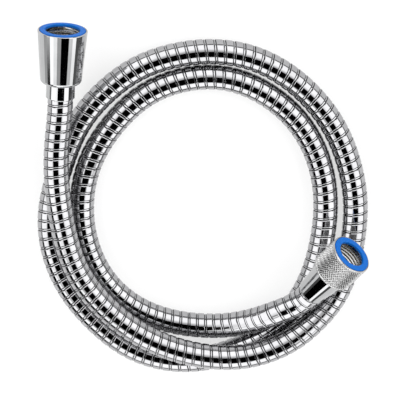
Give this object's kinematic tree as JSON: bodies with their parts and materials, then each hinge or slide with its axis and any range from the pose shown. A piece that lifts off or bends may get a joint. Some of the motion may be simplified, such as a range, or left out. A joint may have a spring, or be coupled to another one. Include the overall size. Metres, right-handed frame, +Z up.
{
  "type": "shower hose",
  "caption": "Flexible steel shower hose in a loose coil, with a smooth conical nut for the hand shower at one end and a knurled nut for the wall outlet at the other.",
  "frame": {"origin": "centre of the coiled hose's footprint, on the table's top", "axes": "+Z up from the table; +Y towards the conical nut's mouth, up in the picture; +X to the picture's right"},
  "size_m": [0.184, 0.2053, 0.0502],
  "materials": {
    "steel": "polished",
    "chrome": "polished",
    "brass": "machined",
    "nylon": "plain",
    "blue_rubber": "smooth"
  },
  "bodies": {
    "hose_body": {"hose": "steel", "cone_ferrule": "chrome", "cone_insert": "brass", "cone_bearing_ring": "nylon", "tapered_ferrule": "chrome", "nut_insert": "brass", "nut_bearing_ring": "nylon"},
    "cone_nut_body": {"cone_nut": "chrome", "cone_washer": "blue_rubber"},
    "knurled_nut_body": {"knurled_nut": "chrome", "nut_washer": "blue_rubber"}
  },
  "joints": [
    {"name": "cone_nut_spin", "type": "hinge", "parent": "hose_body", "child": "cone_nut_body", "pos_m": [-0.0766, 0.08254, 0.02307], "axis": [0.0522, 0.9968, 0.061], "continuous": true},
    {"name": "knurled_nut_spin", "type": "hinge", "parent": "hose_body", "child": "knurled_nut_body", "pos_m": [0.07709, -0.02684, 0.03632], "axis": [0.5696, 0.7291, 0.3795], "continuous": true}
  ]
}
